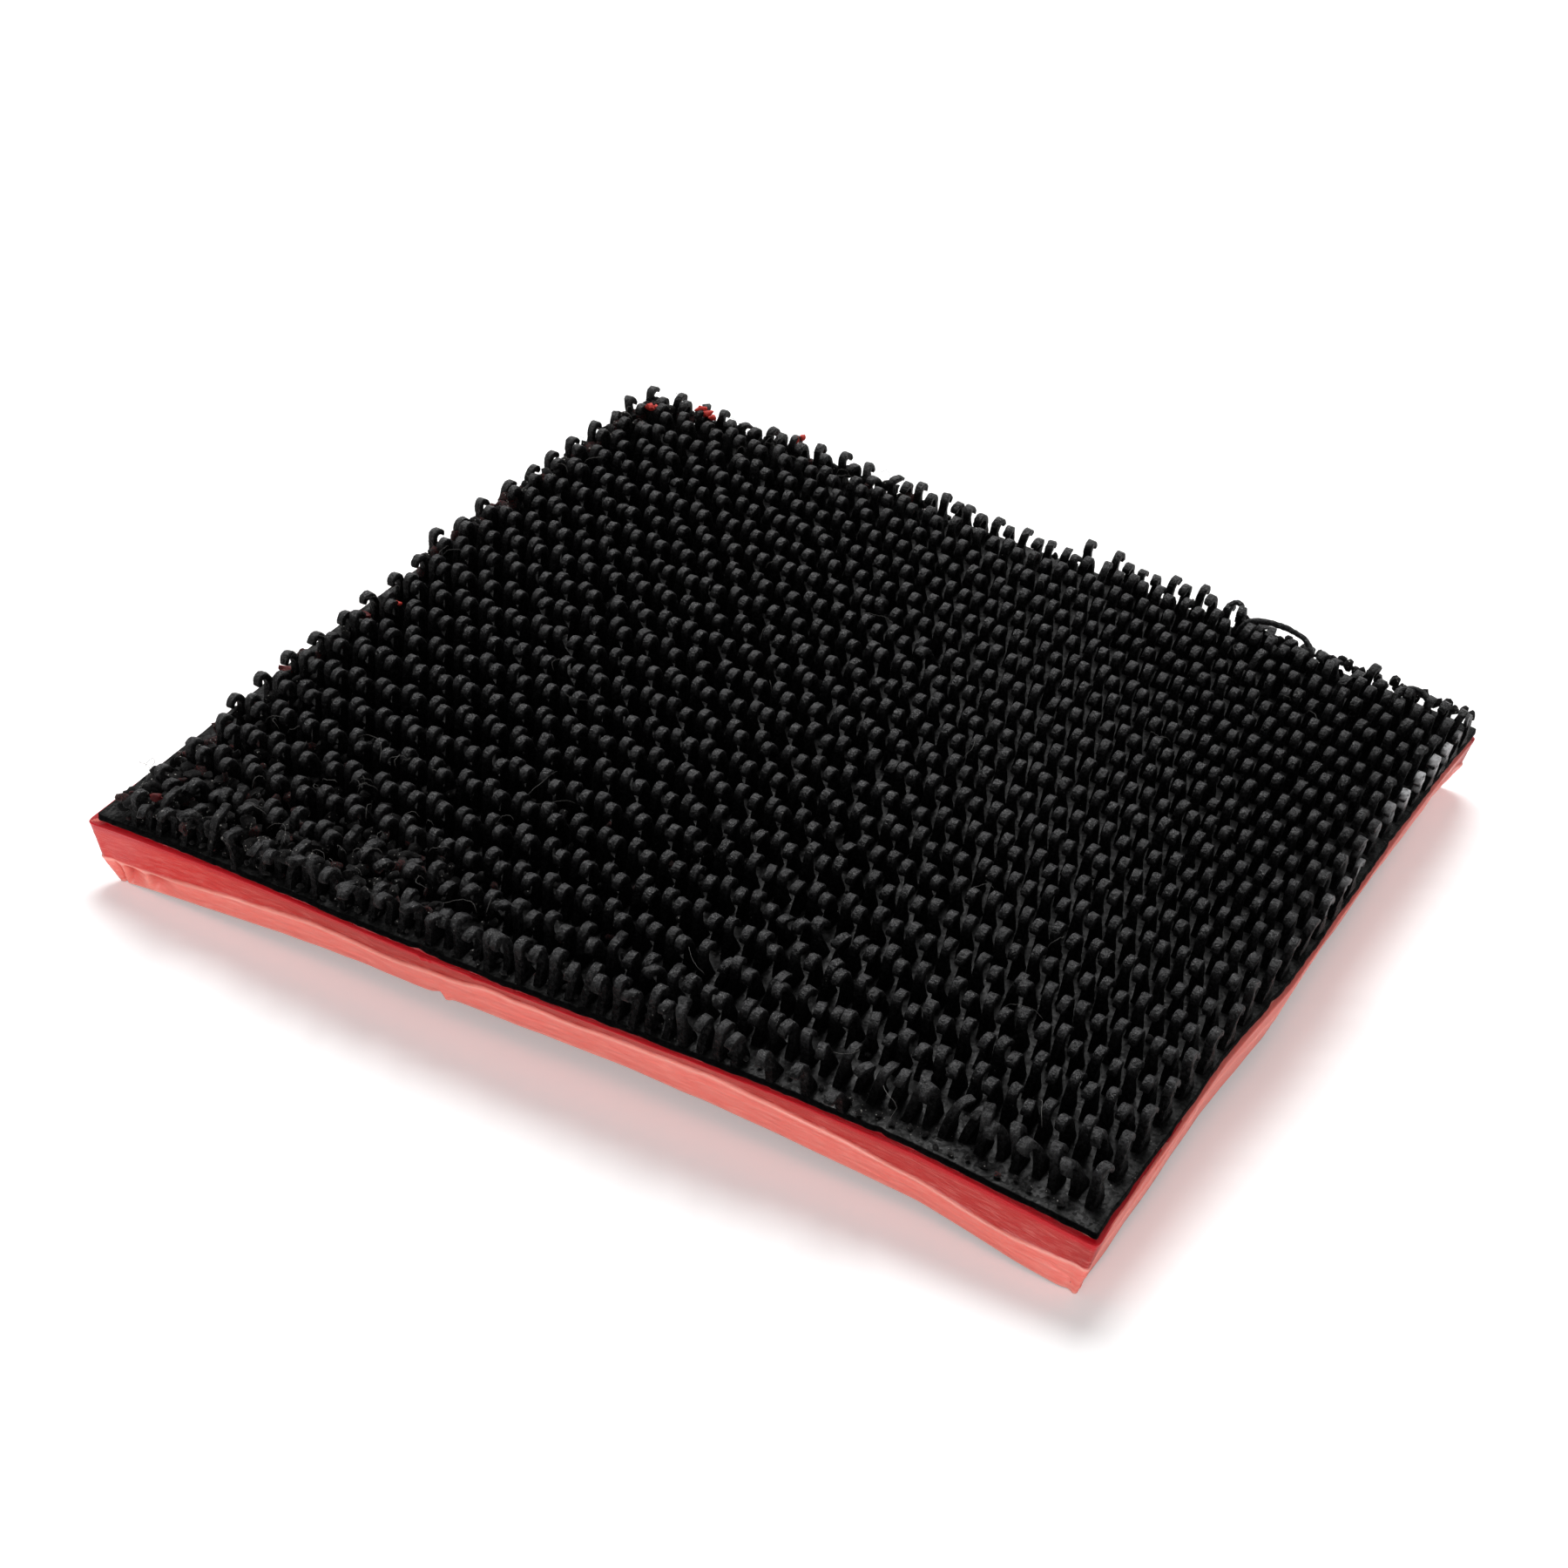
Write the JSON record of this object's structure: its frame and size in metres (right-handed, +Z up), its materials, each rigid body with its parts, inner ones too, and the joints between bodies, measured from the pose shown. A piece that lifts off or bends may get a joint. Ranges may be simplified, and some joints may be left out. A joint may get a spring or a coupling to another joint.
{
  "type": "sanding block hook pad",
  "caption": "Thin square flexible facing pad for a sanding block: moulded hook tape on a slant-cut rubber pad, slightly curled along one diagonal.",
  "frame": {"origin": "bottom centre of the pad's bounding box, on the table it stands on with two opposite corners and the right front corner touching", "axes": "+X along the front cut edge to the right, +Y to the back, along the hook lanes, +Z up out of the hook face"},
  "size_m": [0.039, 0.0352, 0.0088],
  "materials": {
    "hook_plastic": "satin black moulding, dulled where worn",
    "adhesive": "thin clear film over red rubber",
    "red_rubber": "slightly translucent, glossy knife-cut sides"
  },
  "bodies": {
    "root": {"hook_tape": "hook_plastic", "adhesive_layer": "adhesive", "rubber_pad": "red_rubber"}
  },
  "joints": []
}
